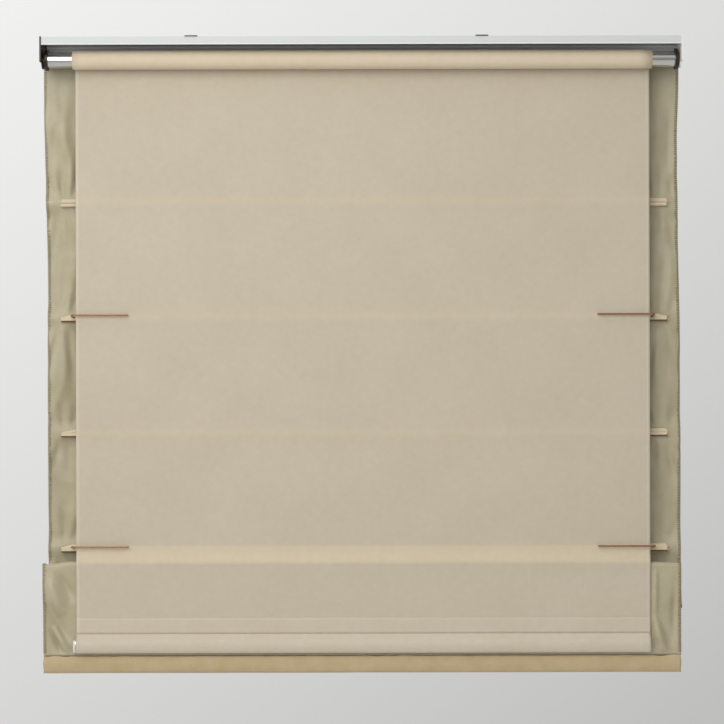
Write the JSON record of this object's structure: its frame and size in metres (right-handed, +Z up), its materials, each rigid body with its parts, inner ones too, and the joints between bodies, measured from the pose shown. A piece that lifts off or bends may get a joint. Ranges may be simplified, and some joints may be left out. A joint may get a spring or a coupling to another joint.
{
  "type": "roman blind",
  "caption": "Roman blind seen from its window side: head rail with a spring roller, a backing sheet that raises it, and a lined fabric panel with rods.",
  "frame": {"origin": "middle of the head rail's top, level with the tops of its lips", "axes": "+X along the rail to the right as seen from the window side, +Y towards the room, +Z up towards the ceiling"},
  "size_m": [1, 0.0739, 0.9975],
  "materials": {
    "rail_paint": "satin powder coat on extruded aluminium",
    "plate_paint": "satin powder coat on steel",
    "plated_steel": "zinc plated",
    "spring_steel": "blued",
    "tube_aluminium": "mill finish, drawn along the tube",
    "bar_aluminium": "mill finish",
    "bush_brass": "turned",
    "plug_plastic": "moulded, fine grain",
    "cap_plastic": "moulded",
    "rod_fibreglass": "drawn, satin",
    "guide_coat": "satin coating on wire",
    "adhesive_strip": "smooth",
    "tape_fabric": "hook-and-loop tape",
    "face_fabric": "plain weave, linen look",
    "lining_fabric": "satin lining",
    "sheet_fabric": "plain weave, slightly see-through",
    "sleeve_fabric": "woven tape"
  },
  "bodies": {
    "rail": {"head_rail": "rail_paint", "end_plate_left": "plate_paint", "end_plate_right": "plate_paint", "end_plate_screws": "plated_steel", "ceiling_clip_left": "spring_steel", "ceiling_clip_right": "spring_steel", "rail_hook_tape": "tape_fabric", "panel_loop_tape": "tape_fabric", "face_panel": "face_fabric", "lining_panel": "lining_fabric", "back_sheet": "sheet_fabric", "idle_pin": "plated_steel", "spring_shaft": "plated_steel", "spring_anchor": "cap_plastic", "lift_spring": "spring_steel"},
    "roller": {"roller_tube": "tube_aluminium", "end_plug_left": "plug_plastic", "end_plug_right": "plug_plastic", "bearing_bush_left": "bush_brass", "bearing_bush_right": "bush_brass", "sheet_roll": "sheet_fabric", "roll_tape": "adhesive_strip"},
    "bottom": {"bottom_bar": "bar_aluminium", "bottom_bar_cap_left": "cap_plastic", "bottom_bar_cap_right": "cap_plastic", "hem_bar": "bar_aluminium", "bar_hook_tape": "tape_fabric", "bar_loop_tape": "tape_fabric"},
    "row_1": {"rod_1": "rod_fibreglass", "rod_sleeve_1": "sleeve_fabric"},
    "row_2": {"rod_2": "rod_fibreglass", "rod_sleeve_2": "sleeve_fabric", "guide_left_2": "guide_coat", "guide_right_2": "guide_coat"},
    "row_3": {"rod_3": "rod_fibreglass", "rod_sleeve_3": "sleeve_fabric"},
    "row_4": {"rod_4": "rod_fibreglass", "rod_sleeve_4": "sleeve_fabric", "guide_left_4": "guide_coat", "guide_right_4": "guide_coat"}
  },
  "joints": [
    {"name": "lift", "type": "slide", "parent": "rail", "child": "bottom", "axis": [0, 0, 1], "range_m": [0, 0.7], "deforming": ["face_panel", "lining_panel", "back_sheet"]},
    {"name": "roller_turn", "type": "hinge", "parent": "rail", "child": "roller", "pos_m": [0, -0.005, -0.0325], "axis": [1, 0, 0], "range_deg": [0, 2450]},
    {"name": "row_1_rise", "type": "slide", "parent": "rail", "child": "row_1", "axis": [0, 0, 1], "range_m": [0, 0.1846]},
    {"name": "row_2_rise", "type": "slide", "parent": "rail", "child": "row_2", "axis": [0, 0, 1], "range_m": [0, 0.3168]},
    {"name": "row_3_rise", "type": "slide", "parent": "rail", "child": "row_3", "axis": [0, 0, 1], "range_m": [0, 0.4491]},
    {"name": "row_4_rise", "type": "slide", "parent": "rail", "child": "row_4", "axis": [0, 0, 1], "range_m": [0, 0.5813]}
  ],
  "couplings": [
    {"joint": "roller_turn", "follows": "lift", "rad_per_m": 61},
    {"joint": "row_1_rise", "follows": "lift", "ratio": 0.26294},
    {"joint": "row_2_rise", "follows": "lift", "ratio": 0.45186},
    {"joint": "row_3_rise", "follows": "lift", "ratio": 0.64079},
    {"joint": "row_4_rise", "follows": "lift", "ratio": 0.82971}
  ]
}
